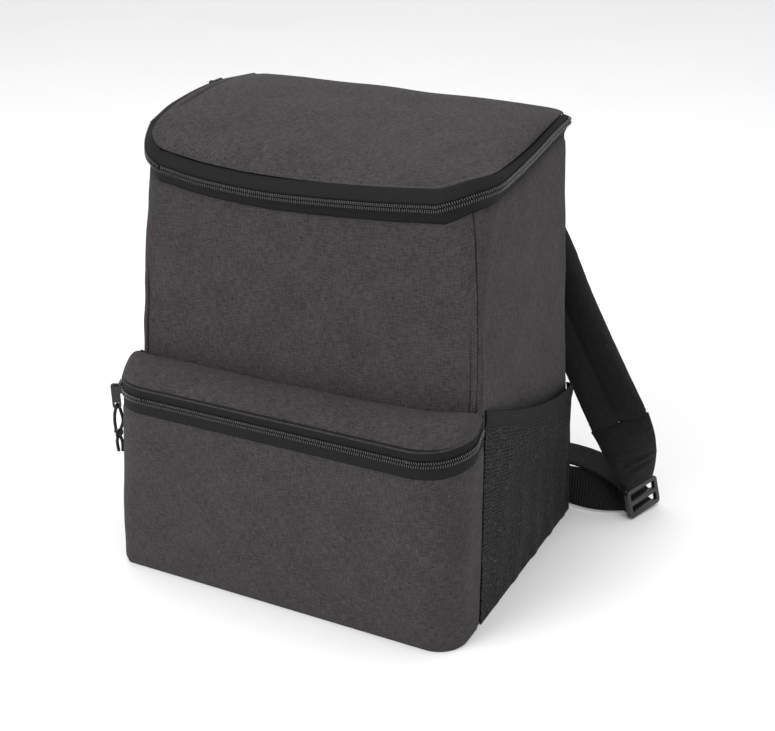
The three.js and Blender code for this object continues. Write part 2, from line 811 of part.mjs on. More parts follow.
// Webbing from the bag's lower back corner, upright and flat against the back, to the
// ladder-lock, where it lies flat. Its lower edge stays level.
function anchorWebbing() {
  const half = webbingWidth / 2;
  const onBack = (z) => bodyPoint(webbingSeamAt, z, -webbingThickness / 2 - 2 * seamGap);
  const start = onBack(webbingHeight + half);
  const upright = onBack(webbingHeight + webbingWidth).sub(start).normalize();
  const across = (share) => upright.clone().lerp(lockAcross, clamp(share * 1.25 - 0.1));
  const edge = start.clone().setX(start.x + backCorner);
  const stop = offLock((lockBar - lockDepth) / 2, -lockThickness / 2 - 3 * seamGap);
  const near = stop.clone().addScaledVector(lockNormal, -webbingWidth / 2.5);
  const middle = edge.clone().lerp(near, 0.5).setY(mix(edge.y, near.y, 0.25));
  const line = [start, ...curveThrough([edge, middle, near], 7), stop];
  for (let pass = 0; pass < 5; pass += 1) {
    const inside = bandFrames(line, across).slice(1, -1);
    inside.forEach(({ p, wide }) => p.setZ(webbingHeight + half * Math.abs(wide.z)));
  }
  return band(line, across, () => flatShape(webbingWidth, webbingThickness));
}

// Loose end of the webbing, from the ladder-lock back behind the bag.
function webbingTail() {
  const start = offLock(0, -lockThickness / 2 - 2 * seamGap);
  const rows = tailRoute.map((row) =>
    point(-row.back, row.behind, row.up).multiplyScalar(tailLength).add(start),
  );
  const leave = start.clone().addScaledVector(lockNormal, -webbingWidth / 10);
  const wide = (share) => lockAcross.clone().lerp(point(0, 1, 0.08), clamp(share * 2));
  const shape = () => flatShape(webbingWidth, webbingThickness);
  return band([start, ...curveThrough([leave, ...rows], 9)], wide, shape);
}

// Zip slider lying on its chain, +X outwards, +Y along the chain and +Z up: a plate, and
// a bridge whose outer bar the pull hangs on, clear of the plate.
const barMiddle = sliderThickness + pullClearance + pullWidth / 2;
const bridgeOut = barMiddle + bridgeBar / 2;

function zipSlider() {
  const foot = box(sliderThickness, sliderLength, sliderWidth, [sliderThickness / 2, 0, 0]);
  const post = (side) => {
    const root = sliderThickness / 2;
    const middle = [(bridgeOut + root) / 2, (side * (bridgeSpan - bridgeBar)) / 2, 0];
    return box(bridgeOut - root, bridgeBar, bridgeBar, middle);
  };
  const bar = box(bridgeBar, bridgeSpan, bridgeBar, [barMiddle, 0, 0]);
  return joined([foot, post(-1), post(1), bar]);
}

// Flat pull with an eye at each end, hanging on the bridge's outer bar.
const pullTop = pullBar + pullClearance / 2 + bridgeBar / 2;
const cordEyeHeight = pullTop - pullLength + pullBar + cordEye / 2;

function zipPull() {
  const eye = (size, low) => box(size, size, 2 * pullThickness, [0, low + size / 2, 0]);
  const barEye = bridgeBar + 2 * pullClearance;
  const eyes = [
    eye(barEye, pullLength / 2 - pullBar - barEye),
    eye(cordEye, pullBar - pullLength / 2),
  ];
  const whole = plate(pullWidth, pullLength, pullWidth / 3, pullThickness);
  const geometry = cutBy(whole, eyes);
  geometry.rotateX(Math.PI / 2);
  geometry.translate(barMiddle, 0, pullTop - pullLength / 2);
  return geometry;
}

function cordSection() {
  const section = new THREE.Shape();
  const radius = cordDiameter / 2;
  section.moveTo(radius, 0);
  for (const angle of steps(0, 2 * Math.PI, 8).slice(1, -1)) {
    section.lineTo(radius * Math.cos(angle), radius * Math.sin(angle));
  }
  return section;
}

function cordAlong(points, count) {
  const curve = new THREE.CatmullRomCurve3(points, false, "centripetal");
  const settings = { extrudePath: curve, steps: count, bevelEnabled: false };
  return joined([new THREE.ExtrudeGeometry(cordSection(), settings)]);
}

// Where the cord's route is measured from: the middle of the pull's lower eye.
const cordPoints = () =>
  cordRoute.map(([out, ahead, up]) => point(barMiddle + out, ahead, cordEyeHeight + up));

const pullCord = () => cordAlong(cordPoints(), 24);

// Knot under the cord, with the two cut ends that hang out of it.
function pullKnot() {
  const [start, stop] = [cordPoints().shift(), cordPoints().pop()];
  const knotTop = start.z - seamGap;
  const middle = point((start.x + stop.x) / 2, 0, knotTop - knotDiameter / 2);
  const ball = new THREE.IcosahedronGeometry(knotDiameter / 2, 1);
  ball.translate(middle.x, middle.y, middle.z);
  const tail = (side) => {
    const foot = middle.x + side * cordDiameter * 0.6;
    const low = middle.z - knotDiameter / 2 - cordTail;
    return cordAlong([middle, point(foot, 0, low)], 3);
  };
  return joined([ball, tail(-1), tail(1)]);
}

// Colours and finishes
const looks = {
  cloth: { color: 0x4b4849, roughness: 0.95, metalness: 0 },
  lining: { color: 0x2b2a2b, roughness: 0.9, metalness: 0 },
  tape: { color: 0x1d1c1d, roughness: 0.85, metalness: 0 },
  chain: { color: 0x121213, roughness: 0.4, metalness: 0 },
  mesh: { color: 0x262526, roughness: 0.9, metalness: 0 },
  strap: { color: 0x2c2b2c, roughness: 0.95, metalness: 0 },
  webbing: { color: 0x161617, roughness: 0.8, metalness: 0 },
  plastic: { color: 0x101011, roughness: 0.35, metalness: 0 },
  metal: { color: 0x18181a, roughness: 0.4, metalness: 0.6 },
};

function piece(name, geometry, look) {
  const mesh = new THREE.Mesh(geometry, new THREE.MeshStandardMaterial(looks[look]));
  mesh.name = name;
  return mesh;
}

// Pieces that both sides have, the left ones as mirror images.
const sidePieces = [
  ["mesh_pocket", meshPocket, "mesh"],
  ["mesh_binding", meshBinding, "tape"],
  ["shoulder_strap", shoulderStrap, "strap"],
  ["strap_tab", strapTab, "strap"],
  ["ladder_lock", ladderLock, "plastic"],
  ["anchor_webbing", anchorWebbing, "webbing"],
  ["webbing_tail", webbingTail, "webbing"],
];

function bag() {
  const group = new THREE.Group();
  group.add(
    piece("base_panel", basePanel(), "lining"),
    piece("front_panel", frontPanel(), "cloth"),
    piece("side_panel_left", leftPanel(), "cloth"),
    piece("side_panel_right", rightPanel(), "cloth"),
    piece("back_panel", backPanel(), "cloth"),
    piece("lid", lid(), "cloth"),
    piece("lid_tape_lower", lidTapeLower(), "tape"),
    piece("lid_tape_upper", lidTapeUpper(), "tape"),
    piece("lid_zip_chain", lidChain(), "chain"),
    piece("pocket_front", pocketFront(), "cloth"),
    piece("pocket_base", pocketBase(), "cloth"),
    piece("pocket_gusset", pocketGusset(), "cloth"),
    piece("pocket_tape_lower", pocketTapeLower(), "tape"),
    piece("pocket_tape_upper", pocketTapeUpper(), "tape"),
    piece("pocket_zip_chain", pocketChain(), "chain"),
  );
  for (const [name, make, look] of sidePieces) {
    const geometry = make();
    group.add(piece(`${name}_right`, geometry, look));
    group.add(piece(`${name}_left`, mirrored(geometry), look));
  }
  return group;
}

// Slider and pull of a zip at a place on its chain, facing outwards by an angle.
function sliderGroup(name, place, facing) {
  const group = new THREE.Group();
  group.add(piece(`${name}_slider`, zipSlider(), "metal"));
  group.add(piece(`${name}_pull`, zipPull(), "metal"));
  const out = point(Math.cos(facing), Math.sin(facing), 0);
  group.position.copy(place).addScaledVector(out, seamGap);
  group.rotation.z = facing;
  return group;
}

function whole() {
  const group = bag();
  const onLid = bodyPoint(lidSliderAt, zipAt(lidSliderAt), -zipOverhang);
  const lidSlider = sliderGroup("lid", onLid, Math.PI);
  const onPocket = pocketPoint(pocketSliderAt, pocketZipAt(pocketSliderAt), 0);
  const facing = (pocketSliderAt + 1) * (Math.PI / 2);
  const pocketSlider = sliderGroup("pocket", onPocket, facing);
  pocketSlider.add(piece("pull_cord", pullCord(), "webbing"));
  pocketSlider.add(piece("pull_knot", pullKnot(), "webbing"));
  group.add(lidSlider, pocketSlider);
  const size = new THREE.Box3().setFromObject(group);
  const middle = size.getCenter(point(0, 0, 0));
  group.position.set(-middle.x, -middle.y, -size.min.z);
  return group;
}

export default whole();
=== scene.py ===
import math

import bmesh
import bpy
from mathutils import Matrix, Vector, noise


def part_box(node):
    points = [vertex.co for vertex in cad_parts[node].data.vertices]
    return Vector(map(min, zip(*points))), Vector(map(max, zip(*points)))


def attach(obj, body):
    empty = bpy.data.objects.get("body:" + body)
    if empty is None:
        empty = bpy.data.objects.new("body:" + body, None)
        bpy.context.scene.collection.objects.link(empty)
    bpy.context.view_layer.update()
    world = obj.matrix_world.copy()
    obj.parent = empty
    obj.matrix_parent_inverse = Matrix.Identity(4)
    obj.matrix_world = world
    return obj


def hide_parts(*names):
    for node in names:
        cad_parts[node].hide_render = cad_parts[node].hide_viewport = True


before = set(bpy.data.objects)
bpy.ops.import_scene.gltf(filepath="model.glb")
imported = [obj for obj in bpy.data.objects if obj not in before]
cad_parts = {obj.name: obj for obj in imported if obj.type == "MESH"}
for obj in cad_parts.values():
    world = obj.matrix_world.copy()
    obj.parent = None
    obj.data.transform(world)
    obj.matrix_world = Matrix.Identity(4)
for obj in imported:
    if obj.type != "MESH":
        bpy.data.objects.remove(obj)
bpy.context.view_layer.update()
mm = 0.001
print("frame loaded")

# The bag's own shape, in millimetres as its source states it
bag = {"width": 300, "depth": 211, "lidTop": 360, "wall": 5, "backCorner": 8, "gap": 0.3,
       "zipHeight": 317, "zipRise": 45, "overhang": 4, "tapeRise": 10, "tapeLean": 5,
       "leftLean": 8, "leanCurve": 1.4, "chain": 5.6, "tape": 8.4, "tapeInset": 0.8,
       "backSeam": 1.5, "frontSeam": 3.5}
chainReach = bag["chain"] / 2 + bag["gap"]
tapeReach = chainReach + bag["tape"]
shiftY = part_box("front_panel")[0].y / mm + bag["depth"]

# height, half width, front, back, left corner, right corner
bodySections = [
    (0.0, 1, 1, 0.005, 0.8, 0.8), (0.17, 0.995, 0.978, 0.04, 0.7, 0.7),
    (0.36, 0.99, 0.958, 0.075, 0.65, 0.65), (0.51, 0.983, 0.938, 0.083, 0.65, 0.7),
    (0.61, 0.975, 0.915, 0.083, 0.7, 0.9), (0.72, 0.965, 0.895, 0.083, 1, 1.5),
    (0.82, 0.955, 0.88, 0.083, 1.7, 2.6), (0.92, 0.948, 0.872, 0.085, 2.6, 4.2),
    (1.04, 0.94, 0.865, 0.085, 3, 4.8)]
# place along the outline, rise of the zip, rise of its upper tape
zipRows = [
    (1.5, 0.83, 0.3), (2, 0.88, 0.3), (2.4, 1, 0.3), (2.8, 0.92, 0.3), (3, 0.76, 0.3),
    (3.25, 0.56, 0.6), (3.5, 0.4, 0.95), (3.8, 0.28, 1), (4, 0.2, 1), (4.15, 0.08, 1),
    (4.35, 0.01, 1), (4.5, 0.015, 1), (4.8, 0.1, 1), (5, 0.19, 1), (5.25, 0.285, 0.95),
    (5.5, 0.375, 0.85), (5.75, 0.415, 0.7), (6, 0.445, 0.5), (6.25, 0.505, 0.28),
    (6.5, 0.59, 0.12), (6.75, 0.69, 0.12), (7, 0.75, 0.2), (7.5, 0.72, 0.2)]


def clamp(value):
    return min(1, max(0, value))


def mix(a, b, share):
    return a + (b - a) * share


def tableValue(rows, column, at):
    # smooth curve through one column of a table
    last = len(rows) - 1
    i = next((k for k, row in enumerate(rows) if row[0] > at), last) - 1
    i = max(0, min(last - 1, i))
    a, b = rows[i], rows[i + 1]
    before, after = rows[max(0, i - 1)], rows[min(last, i + 2)]
    span = b[0] - a[0]
    s = clamp((at - a[0]) / span)
    slopeA = (b[column] - before[column]) / (b[0] - before[0]) * span
    slopeB = (after[column] - a[column]) / (after[0] - a[0]) * span
    s2, s3 = s * s, s * s * s
    return (a[column] * (2 * s3 - 3 * s2 + 1) + slopeA * (s3 - 2 * s2 + s)
            + b[column] * (3 * s2 - 2 * s3) + slopeB * (s3 - s2))


def bodyPoint(u, z, inset):
    # u runs round the bag as in its source: 0 to 9, from the middle of the back
    row = [tableValue(bodySections, k, z / bag["lidTop"]) for k in range(1, 6)]
    half = row[0] * bag["width"] / 2 - inset
    front = -row[1] * bag["depth"] + inset
    back = -row[2] * bag["depth"] - inset
    left, right, rear = [max(0.6, r * bag["backCorner"] - inset) for r in (row[3], row[4], 1)]
    turn = u % 9
    part = int(turn)
    share = turn - part

    def arc(x, y, radius, start):
        angle = math.radians(start + share * 90)
        return Vector((x + radius * math.cos(angle), y + radius * math.sin(angle), z))

    corners = {1: (rear - half, back - rear, rear, 90), 3: (left - half, front + left, left, 180),
               5: (half - right, front + right, right, 270), 7: (half - rear, back - rear, rear, 0)}
    if part in corners:
        return arc(*corners[part])
    flats = {0: ((0, back), (rear - half, back)), 2: ((-half, back - rear), (-half, front + left)),
             4: ((left - half, front), (half - right, front)),
             6: ((half, front + right), (half, back - rear)), 8: ((half - rear, back), (0, back))}
    a, b = flats[part]
    return Vector((mix(a[0], b[0], share), mix(a[1], b[1], share), z))


def zipAt(u):
    return bag["zipHeight"] + bag["zipRise"] * tableValue(zipRows, 1, u)


def leftShare(u):
    if u < bag["backSeam"] or u > bag["frontSeam"]:
        return 0
    return (bag["frontSeam"] - u) * 2 if u > 3 else 1


def leanPoint(u, share):
    # the upper tape leans in over the lid, more on the left
    lean = mix(bag["tapeLean"], bag["leftLean"], leftShare(u)) * share ** bag["leanCurve"]
    rise = bag["tapeRise"] * tableValue(zipRows, 2, u) * share
    inset = bag["tapeInset"] - bag["overhang"] + lean
    return bodyPoint(u, zipAt(u), inset) + Vector((0, 0, chainReach + rise))


# height, out, left corner, right corner of the front pocket
pocket = {"depth": 36, "height": 175, "zip": 157, "leftDrop": 11, "rightRise": 8, "wall": 2,
          "wrap": 8, "puff": 6}
pocketSections = [(0, 0.96, 0.22, 0.7), (0.06, 1, 0.28, 0.75), (0.4, 1.02, 0.62, 0.8),
                  (0.65, 1, 0.9, 0.9), (0.9, 0.97, 1.05, 1.05), (1.1, 0.95, 1.1, 1.1)]


def pocketPoint(w, z, inset):
    at = z / pocket["height"]
    wrap = bag["gap"] + pocket["wall"] - inset
    half = bag["width"] / 2 + wrap
    front = -bag["depth"] - pocket["depth"] * tableValue(pocketSections, 1, at) + inset
    column = 2 if w < 2.5 else 3
    radius = max(1, tableValue(pocketSections, column, at) * pocket["depth"] - inset)
    turn = w if w < 2.5 else 5 - w
    side = -1 if w < 2.5 else 1
    if turn < 1:
        bodyHalf = tableValue(bodySections, 1, z / bag["lidTop"]) * bag["width"] / 2
        bodyFront = -tableValue(bodySections, 2, z / bag["lidTop"]) * bag["depth"]
        x = mix(bodyHalf + wrap, half, turn)
        return Vector((side * x, mix(bodyFront + pocket["wrap"], front + radius, turn), z))
    if turn < 2:
        angle = (turn - 1) * math.pi / 2
        x = half - radius + radius * math.cos(angle)
        return Vector((side * x, front + radius - radius * math.sin(angle), z))
    return Vector((side * (half - radius) * (5 - 2 * turn), front, z))


def pocketZipAt(w):
    end = clamp((abs(w - 2.5) - 0.4) / 1.6) ** 2
    return pocket["zip"] + end * (-pocket["leftDrop"] if w < 2.5 else pocket["rightRise"])


def toFrame(p):
    return Vector((p.x, p.y + shiftY, p.z)) * mm


# Camera, matched to the photograph's box edges
camera = {"azimuth": 27.965, "elevation": 25.179, "roll": -1.233, "focal": 1365.7,
          "place": (496.7, -990.8, 627.3), "imageWidth": 775, "sensor": 36}


def makeCamera():
    data = bpy.data.cameras.new("camera")
    data.sensor_width = camera["sensor"]
    data.lens = camera["focal"] * camera["sensor"] / camera["imageWidth"]
    a, e, r = (math.radians(camera[k]) for k in ("azimuth", "elevation", "roll"))
    right = Vector((math.cos(a), math.sin(a), 0))
    ahead = Vector((-math.sin(a) * math.cos(e), math.cos(a) * math.cos(e), -math.sin(e)))
    up = right.cross(ahead)
    turned = right * math.cos(r) + up * math.sin(r)
    upright = up * math.cos(r) - right * math.sin(r)
    axes = Matrix((turned, upright, -ahead)).transposed().to_4x4()
    obj = bpy.data.objects.new("camera", data)
    bpy.context.scene.collection.objects.link(obj)
    obj.matrix_world = Matrix.Translation(toFrame(Vector(camera["place"]))) @ axes
    bpy.context.scene.camera = obj


makeCamera()


# Materials
class Nodes:
    # shorthand for a material's node tree
    def __init__(self, name):
        self.material = bpy.data.materials.new(name)
        self.material.use_nodes = True
        self.tree = self.material.node_tree
        self.shader = self.tree.nodes["Principled BSDF"]

    def add(self, kind, **settings):
        node = self.tree.nodes.new("ShaderNode" + kind)
        for key, value in settings.items():
            setattr(node, key, value)
        return node

    def put(self, socket, value):
        if hasattr(value, "is_output"):
            self.tree.links.new(value, socket)
        else:
            socket.default_value = value

    def math(self, operation, a, b=0.0):
        node = self.add("Math", operation=operation)
        for socket, value in zip(node.inputs, (a, b)):
            self.put(socket, value)
        return node.outputs[0]

    def surface(self):
        # the piece's own map in millimetres, along and across the cloth
        return self.add("UVMap", uv_map="cloth").outputs[0]

    def split(self, vector):
        node = self.add("SeparateXYZ")
        self.put(node.inputs[0], vector)
        return node.outputs

    def scaled(self, vector, scale):
        node = self.add("Mapping")
        self.put(node.inputs["Vector"], vector)
        node.inputs["Scale"].default_value = scale
        return node.outputs[0]

    def noise(self, vector, scale, detail=2.0, roughness=0.5):
        node = self.add("TexNoise")
        self.put(node.inputs["Vector"], vector)
        node.inputs["Scale"].default_value = scale
        node.inputs["Detail"].default_value = detail
        node.inputs["Roughness"].default_value = roughness
        return node.outputs["Fac"]

    def ramp(self, fac, stops):
        node = self.add("ValToRGB")
        self.put(node.inputs[0], fac)
        elements = node.color_ramp.elements
        while len(elements) < len(stops):
            elements.new(0.5)
        for element, (at, colour) in zip(elements, stops):
            element.position = at
            element.color = (*colour, 1)
        return node.outputs[0]

    def bump(self, height, distance, strength=1.0):
        node = self.add("Bump")
        self.put(node.inputs["Height"], height)
        node.inputs["Distance"].default_value = distance
        node.inputs["Strength"].default_value = strength
        self.tree.links.new(node.outputs[0], self.shader.inputs["Normal"])

    def finish(self, colour, roughness, sheen=0.0, metallic=0.0, specular=0.5):
        self.put(self.shader.inputs["Base Color"], colour)
        self.put(self.shader.inputs["Roughness"], roughness)
        self.shader.inputs["Sheen Weight"].default_value = sheen
        self.shader.inputs["Sheen Roughness"].default_value = 0.6
        self.shader.inputs["Metallic"].default_value = metallic
        self.shader.inputs["Specular IOR Level"].default_value = specular
        return self.material


def twill(name, dark, light, pitch=1.15, sheen=0.03, contrast=2.4):
    # heathered twill: two yarn colours drawn out along weft and warp, with diagonal ribs
    n = Nodes(name)
    uv = n.surface()
    weft = n.noise(n.scaled(uv, (0.16, 1.1, 1)), 1.0, 3.0, 0.65)
    warp = n.noise(n.scaled(uv, (1.1, 0.14, 1)), 1.0, 3.0, 0.65)
    mottle = n.noise(uv, 0.035, 2.0)
    axes = n.split(uv)
    slope = n.math("ADD", axes[0], n.math("MULTIPLY", axes[1], 1.25))
    rib = n.math("SINE", n.math("MULTIPLY", slope, 2 * math.pi / (pitch * 1.45)))
    yarn = n.math("SINE", n.math("MULTIPLY", axes[1], 2 * math.pi / (pitch * 0.5)))
    height = n.math("ADD", n.math("MULTIPLY", rib, 0.32), n.math("MULTIPLY", yarn, 0.08))
    tone = n.math("ADD", n.math("MULTIPLY", weft, 0.55), n.math("MULTIPLY", warp, 0.45))
    tone = n.math("ADD", tone, n.math("MULTIPLY", rib, 0.055 * contrast))
    tone = n.math("ADD", tone, n.math("MULTIPLY", n.math("SUBTRACT", mottle, 0.5), 0.12))
    colour = n.ramp(tone, [(0.34, dark), (0.68, light)])
    n.bump(n.math("ADD", height, n.math("MULTIPLY", weft, 0.5)), 0.00035, 0.55)
    return n.finish(colour, 0.92, sheen, specular=0.12)


def woven(name, dark, light, ribAxis, pitch, depth=0.0004, roughness=0.75, specular=0.16):
    # tape, elastic or webbing: ribs across one axis and fine yarns over the other
    n = Nodes(name)
    axes = n.split(n.surface())
    ribs = n.math("SINE", n.math("MULTIPLY", axes[ribAxis], 2 * math.pi / pitch))
    fine = n.math("SINE", n.math("MULTIPLY", axes[1 - ribAxis], 2 * math.pi / (pitch * 0.8)))
    height = n.math("ADD", n.math("MULTIPLY", ribs, 0.5), n.math("MULTIPLY", fine, 0.2))
    fleck = n.noise(n.surface(), 1.6, 3.0)
    tone = n.math("ADD", n.math("MULTIPLY", height, 0.35), fleck)
    n.bump(height, depth, 0.8)
    return n.finish(n.ramp(tone, [(0.2, dark), (0.85, light)]), roughness, 0.0, specular=specular)


def knit(name, dark, light, cell):
    # open honeycomb knit: threads round dark cells
    n = Nodes(name)
    uv = n.scaled(n.surface(), (1 / cell, 1 / (cell * 0.8), 1))
    wobble = n.noise(n.surface(), 0.5, 2.0)
    node = n.add("TexVoronoi", feature="DISTANCE_TO_EDGE")
    n.put(node.inputs["Vector"], uv)
    node.inputs["Scale"].default_value = 1.0
    node.inputs["Randomness"].default_value = 0.45
    edge = node.outputs["Distance"]
    thread = n.math("SUBTRACT", 1.0, n.math("MULTIPLY", edge, 3.2))
    tone = n.math("ADD", n.math("MULTIPLY", thread, 0.6), n.math("MULTIPLY", wobble, 0.35))
    n.bump(thread, 0.0012, 0.9)
    return n.finish(n.ramp(tone, [(0.38, dark), (0.85, light)]), 0.7, 0.0, specular=0.15)


def hard(name, colour, roughness, metallic, grain, specular=0.5):
    # moulded plastic or coated metal with a fine surface grain
    n = Nodes(name)
    place = n.add("TexCoord").outputs["Object"]
    fine = n.noise(place, 2600.0 * grain, 2.0)
    wide = n.noise(place, 120.0, 2.0)
    rough = n.math("ADD", roughness - 0.06, n.math("MULTIPLY", wide, 0.12))
    tone = n.ramp(fine, [(0.2, tuple(c * 0.75 for c in colour)), (0.8, colour)])
    n.bump(fine, 0.00005, 0.4)
    return n.finish(tone, rough, 0.0, metallic, specular)


clothLooks = {
    "cloth": twill("heatheredTwill", (0.010, 0.0092, 0.0095), (0.066, 0.0600, 0.0615)),
    "strap": twill("strapTwill", (0.004, 0.0038, 0.004), (0.0215, 0.0200, 0.0205), 1.0),
    # the body cloth darkened as painted shade, for the bottom pieces that face the floor
    "lining": twill("paintedShadeTwill", (0.008, 0.0078, 0.008), (0.03, 0.028, 0.029)),
    "tape": woven("zipTape", (0.004, 0.0038, 0.004), (0.0125, 0.0118, 0.012), 1, 1.0, 0.0002),
    "binding": woven("elasticBinding", (0.006, 0.0057, 0.006), (0.0175, 0.0165, 0.017), 1, 1.9, 0.0005),
    "webbing": woven("ribbedWebbing", (0.001, 0.001, 0.001), (0.018, 0.0172, 0.0176), 0, 2.3, 0.0009),
    "mesh": knit("openKnit", (0.0015, 0.0015, 0.0015), (0.046, 0.0430, 0.0440), 3.1),
    "teeth": hard("zipTeeth", (0.02, 0.02, 0.0205), 0.22, 0.0, 0.6, 0.7),
    "plastic": hard("blackPlastic", (0.009, 0.009, 0.0095), 0.34, 0.0, 1.0),
    "metal": hard("blackMetal", (0.035, 0.035, 0.037), 0.3, 0.7, 1.0),
    "cord": hard("braidedCord", (0.014, 0.0135, 0.014), 0.7, 0.0, 0.5, 0.3),
}
print("materials made")


def newObject(name, mesh, look):
    obj = bpy.data.objects.new(name, mesh)
    bpy.context.scene.collection.objects.link(obj)
    mesh.materials.clear()
    mesh.materials.append(clothLooks[look])
    for polygon in mesh.polygons:
        polygon.use_smooth = True
    return obj


def settle(obj, nodes):
    # the piece rides on the only body and stands for its CAD nodes
    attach(obj, "root")
    if nodes:
        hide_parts(*nodes)
    return obj


def finishModifier(obj, kind, **settings):
    modifier = obj.modifiers.new(kind.lower(), kind)
    for key, value in settings.items():
        setattr(modifier, key, value)
    return modifier


def surface(name, place, columns, rows, look, thickness):
    # a grid laid over place(s, t), whose map holds real lengths in millimetres
    bm = bmesh.new()
    bmesh.ops.create_grid(bm, x_segments=columns, y_segments=rows, size=0.5)
    shares = {v: (clamp(v.co.x + 0.5), clamp(v.co.y + 0.5)) for v in bm.verts}

    def lengths(line, count):
        total, marks, last = 0.0, [0.0], line(0)
        for k in range(count):
            here = line((k + 1) / count)
            total += (here - last).length
            last = here
            marks.append(total)
        return marks

    up = lengths(lambda t: place(0.5, t), rows)
    byRow = {}
    for v, (s, t) in shares.items():
        v.co = toFrame(place(s, t))
        byRow.setdefault(round(t * rows), {})[round(s * columns)] = v.co.copy()
    # each row is measured by itself, from its middle outwards
    along = {}
    for row, points in byRow.items():
        marks = [0.0]
        for k in range(columns):
            marks.append(marks[-1] + (points[k + 1] - points[k]).length / mm)
        along[row] = [mark - marks[columns // 2] for mark in marks]
    layer = bm.loops.layers.uv.new("cloth")
    for face in bm.faces:
        for loop in face.loops:
            s, t = shares[loop.vert]
            row = round(t * rows)
            loop[layer].uv = (along[row][round(s * columns)], up[row])
    mesh = bpy.data.meshes.new(name)
    bm.to_mesh(mesh)
    bm.free()
    obj = newObject(name, mesh, look)
    finishModifier(obj, "SOLIDIFY", thickness=thickness * mm, offset=-1.0)
    return obj


def boxMap(bm):
    # lays the map in millimetres on each face from the side that it faces most
    layer = bm.loops.layers.uv.get("cloth") or bm.loops.layers.uv.new("cloth")
    for face in bm.faces:
        n = face.normal
        big = max(range(3), key=lambda k: abs(n[k]))
        a, b = {0: (1, 2), 1: (0, 2), 2: (0, 1)}[big]
        for loop in face.loops:
            loop[layer].uv = (loop.vert.co[a] / mm, loop.vert.co[b] / mm)


def mergedCopy(node):
    bm = bmesh.new()
    bm.from_mesh(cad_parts[node].data)
    bmesh.ops.remove_doubles(bm, verts=bm.verts, dist=0.00001)
    bmesh.ops.join_triangles(bm, faces=bm.faces, angle_face_threshold=0.9,
                             angle_shape_threshold=2.6)
    return bm


def smoothCopy(name, node, look, levels=2, creaseAngle=0.7, crease=1.0, bevel=0.0, change=None):
    # a CAD node's form, merged to quads and subdivided or bevelled
    bm = mergedCopy(node)
    if change:
        change(bm)
    if crease and levels:
        layer = bm.edges.layers.float.new("crease_edge")
        for edge in bm.edges:
            if len(edge.link_faces) == 2 and edge.calc_face_angle() > creaseAngle:
                edge[layer] = crease
    boxMap(bm)
    mesh = bpy.data.meshes.new(name)
    bm.to_mesh(mesh)
    bm.free()
    obj = newObject(name, mesh, look)
    if bevel:
        finishModifier(obj, "BEVEL", width=bevel * mm, segments=3, limit_method="ANGLE")
    if levels:
        finishModifier(obj, "SUBSURF", levels=levels, render_levels=levels)
    return obj


def mirroredCopy(obj, name):
    # the same piece on the other side
    mesh = obj.data.copy()
    mesh.name = name
    mesh.transform(Matrix.Scale(-1, 4, (1, 0, 0)))
    mesh.flip_normals()
    copy = bpy.data.objects.new(name, mesh)
    bpy.context.scene.collection.objects.link(copy)
    for modifier in obj.modifiers:
        twin = copy.modifiers.new(modifier.name, modifier.type)
        for key in ("thickness", "offset", "levels", "render_levels", "width", "segments",
                    "limit_method"):
            if hasattr(modifier, key):
                setattr(twin, key, getattr(modifier, key))
    return copy


def ripple(p, size, depth, seed=0.0):
    # soft unevenness of padded cloth, in millimetres
    q = Vector((p.x / size, p.y / size, p.z / size + seed))
    return depth * noise.noise(q)


# Body panels, each drawn in at its sewn edges
panels = {"seamDip": 1.7, "seamReach": 2.2, "footDip": 2.0, "footReach": 3.5, "topDip": 2.2,
          "topReach": 3, "wave": 1.5, "waveSize": 75, "small": 0.4, "smallSize": 24,
          "seamPucker": 0.35, "puckerPitch": 5.5, "puckerReach": 9, "puckerFoot": 10,
          "calmEdge": 18, "calmTop": 14, "crowding": 0.06, "crown": 0.2, "fill": 0.7,
          "measureHeight": 200, "measureSteps": 60}


def lineLength(line):
    return sum((b - a).length for a, b in zip(line, line[1:]))


def dipAt(distance, depth, reach):
    return depth * math.exp(-((distance / reach) ** 2))


def panelPlace(start, stop, top):
    steps = panels["measureSteps"]
    line = [bodyPoint(mix(start, stop, k / steps), panels["measureHeight"], 0)
            for k in range(steps + 1)]
    width = lineLength(line)

    def place(s, t):
        # stations closer together near both seams
        s -= panels["crowding"] * math.sin(2 * math.pi * s)
        u = mix(start, stop, s)
        z = t * top(u)
        p = bodyPoint(u, z, 0)
        away = min(s, 1 - s) * width
        under = top(u) - z
        dip = dipAt(away, panels["seamDip"], panels["seamReach"])
        dip += (dipAt(z, panels["footDip"], panels["footReach"])
                + dipAt(under, panels["topDip"], panels["topReach"]))
        calm = (clamp(away / panels["calmEdge"]) * clamp(z / panels["calmEdge"])
                * clamp(under / panels["calmTop"]))
        dip += calm * (ripple(p, panels["waveSize"], panels["wave"])
                       + ripple(p, panels["smallSize"], panels["small"], 7))
        pucker = (panels["seamPucker"] * math.sin(z / panels["puckerPitch"])
                  * math.exp(-((away / panels["puckerReach"]) ** 2)))
        pucker *= clamp(z / panels["puckerFoot"])
        return bodyPoint(u, z, dip + pucker - panels["crown"] * calm)

    return place


def underZip(u):
    return zipAt(u) - tapeReach - bag["gap"] + 1.2


def underHinge(u):
    return bag["lidTop"] - 6.3


def makeBody():
    front, back = bag["frontSeam"], bag["backSeam"]
    spans = {"front_panel": (front, 9 - front, underZip, 150),
             "side_panel_left": (back, front, underZip, 90),
             "side_panel_right": (9 - front, 9 - back, underZip, 90),
             "back_panel": (9 - back, 9 + back, underHinge, 120)}
    for node, (start, stop, top, count) in spans.items():
        obj = surface("sewn_" + node, panelPlace(start, stop, top), count, 130, "cloth",
                      bag["wall"])
        settle(obj, [node])
    # the bottom pieces take the body cloth darkened as painted shade
    for node in ("base_panel", "pocket_base"):
        obj = smoothCopy("sewn_" + node, node, "lining", levels=2)
        settle(obj, [node])


makeBody()
print("body panels made")


